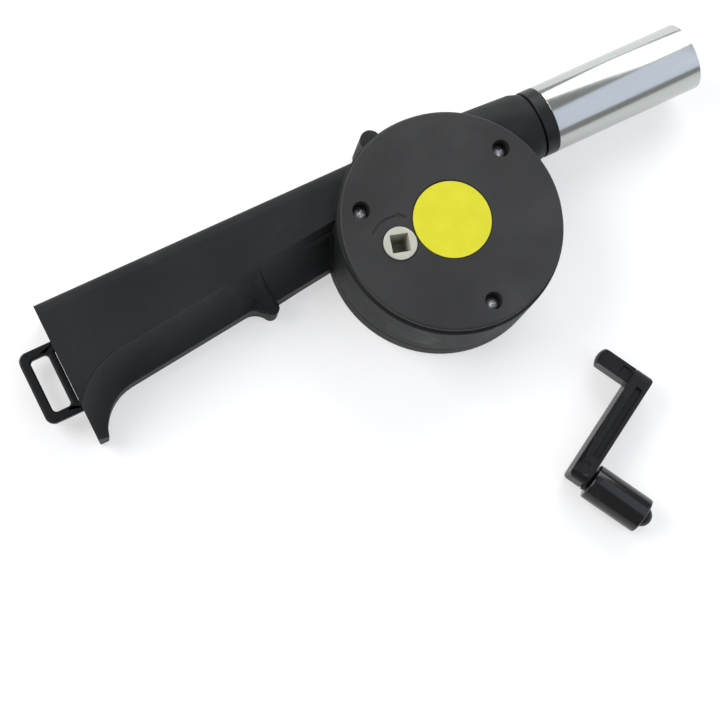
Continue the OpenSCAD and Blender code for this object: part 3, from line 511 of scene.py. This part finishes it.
grip_gloss = Finish("grip_gloss", Specular_IOR_Level=0.3, Coat_Weight=0.35, Coat_Roughness=0.04)
worn = grip_gloss.noise(5, 4, rough=0.6).rise(0.55, 0.8)
hair = grip_gloss.noise(0.3, 2, (1, 1, 1))
black = grip_gloss.mix(worn * 0.5, (0.003, 0.003, 0.004), (0.02, 0.02, 0.022))
grip_gloss.show(black, 0.22 + worn * 0.12, hair, 0.01, 0.4)
grip_low, grip_high = (Vector(corner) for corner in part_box("crank_grip"))
spin = next(joint for joint in frame["record"]["behaviour"]["joints"] if joint["name"] == "grip_spin")
grip_r = (grip_high.z - grip_low.z) / 2 / MM
GRIP_L = 24
GRIP_BORE = 3.06
HOLLOW_R = grip_r - 1.4
HOLLOW_L = 5
SOFT = 0.9
LIP = 0.35
outline = (
    [(0, GRIP_BORE)] + rounded(SOFT, grip_r - SOFT, SOFT, 180, 90)
    + rounded(GRIP_L - SOFT, grip_r - SOFT, SOFT, 90, 0)
    + rounded(GRIP_L - LIP, HOLLOW_R + LIP, LIP, 0, -90)
    + [(GRIP_L - HOLLOW_L, HOLLOW_R), (GRIP_L - HOLLOW_L, GRIP_BORE)]
)
axis = Vector(spin["axis"]).normalized()
middle = (grip_low + grip_high) / 2
grip = turned("crank_grip_piece", outline, middle - axis * GRIP_L / 2 * MM, axis)
fitted(grip, grip_gloss.material, "grip", "gloss_black", "crank_grip")

# Works inside the drum. Black gear plate and impeller, bronze pinion and bushes, steel shafts.

works_black = black_moulding("works_black", (0.02, 0.021, 0.022), 0.45, 0.6)
fitted(dressed("gear_plate", 0.15, 1), works_black, "housing", "crank_plastic", "gear_plate")
fitted(dressed("impeller", 0.2, 1), works_black, "fan", "crank_plastic", "impeller")

bronze = Finish("bronze", Metallic=1.0)
pores = bronze.noise(0.4, 3).rise(0.55, 0.75)
oiled = bronze.mix(bronze.noise(2, 3), (0.42, 0.27, 0.12), (0.60, 0.42, 0.20))
oiled = bronze.mix(pores * 0.5, oiled, (0.16, 0.1, 0.05))
bronze.show(oiled, 0.34 + pores * 0.2, pores, 0.02, 0.6)
for node, body in (("front_bush", "housing"), ("rear_bush", "housing"),
                   ("compound_washer", "housing"), ("fan_pinion", "fan")):
    fitted(dressed(node, 0.06, 1), bronze.material, body, "bronze", node)

ground = Finish("ground_steel", Metallic=1.0)
rings = ground.noise(0.2, 2, (0.1, 0.1, 1))
silver = ground.mix(rings, (0.5, 0.51, 0.53), (0.66, 0.67, 0.69))
ground.show(silver, 0.2 + rings * 0.15, rings, 0.01, 0.5)
for node, body in (("fan_shaft", "fan"), ("compound_axle", "housing")):
    fitted(dressed(node, 0.15, 1), ground.material, body, "shaft_steel", node)

# Floor, lights and camera. The blower lies on a plain white table under soft lights, seen from above
# the crank's side.

floor_mesh = bpy.data.meshes.new("floor")
reach = 4.0
corners = [(-reach, -reach, 0), (reach, -reach, 0), (reach, reach, 0), (-reach, reach, 0)]
floor_mesh.from_pydata(corners, [], [(0, 1, 2, 3)])
floor = bpy.data.objects.new("floor", floor_mesh)
bpy.context.scene.collection.objects.link(floor)
table = Finish("table_white", Emission_Strength=0.5)
tabletop = table.mix(table.noise(60, 2), (0.48, 0.48, 0.48), (0.51, 0.51, 0.51))
table.show(tabletop, 0.55 + table.noise(20, 2) * 0.1, Emission_Color=(1, 1, 1, 1))
floor.data.materials.append(table.material)


def soft_light(name, place, aim, size, power, roll=0, tint=(1, 1, 1)):
    data = bpy.data.lights.new(name, "AREA")
    data.shape = "RECTANGLE"
    data.size, data.size_y = size
    data.energy = power
    data.color = tint
    light = bpy.data.objects.new(name, data)
    light.location = place
    facing = (Vector(aim) - Vector(place)).to_track_quat("-Z", "Y")
    light.rotation_euler = (facing @ Quaternion((0, 0, 1), math.radians(roll))).to_euler()
    bpy.context.scene.collection.objects.link(light)


soft_light("key", (-0.75, 0.6, 0.85), (0, 0, 0), (0.9, 0.7), 12)
soft_light("fill", (1.25, -0.45, 0.6), (0, 0, 0), (0.7, 0.7), 1)
soft_light("strip", (0.53, 0.6, 0.5), (0.09, 0, 0.02), (0.9, 0.62), 6, roll=-28)
soft_light("cool", (0.48, -0.4, 0.72), (0.09, 0, 0.02), (0.9, 1.2), 3.4, roll=-24, tint=(0.74, 0.81, 1))

world = bpy.data.worlds.new("studio")
world.use_nodes = True
world.node_tree.nodes["Background"].inputs["Color"].default_value = (1, 1, 1, 1)
world.node_tree.nodes["Background"].inputs["Strength"].default_value = 0.36
bpy.context.scene.world = world
bpy.context.scene.view_settings.view_transform = "Standard"

# The camera's place and turn were recovered from the photograph's ellipses and straight edges.
camera = bpy.data.objects.new("camera", bpy.data.cameras.new("camera"))
camera.data.lens = 90
camera.data.sensor_width = 36
right = Vector((0.882, -0.4523, 0.132)).normalized()
ahead = Vector((0.2119, 0.1306, -0.9685))
ahead = (ahead - right * ahead.dot(right)).normalized()
up = right.cross(ahead)
turn = Matrix((right, up, -ahead)).transposed().to_4x4()
camera.matrix_world = Matrix.Translation((-0.1927, -0.1171, 0.6647)) @ turn
bpy.context.scene.collection.objects.link(camera)
bpy.context.scene.camera = camera
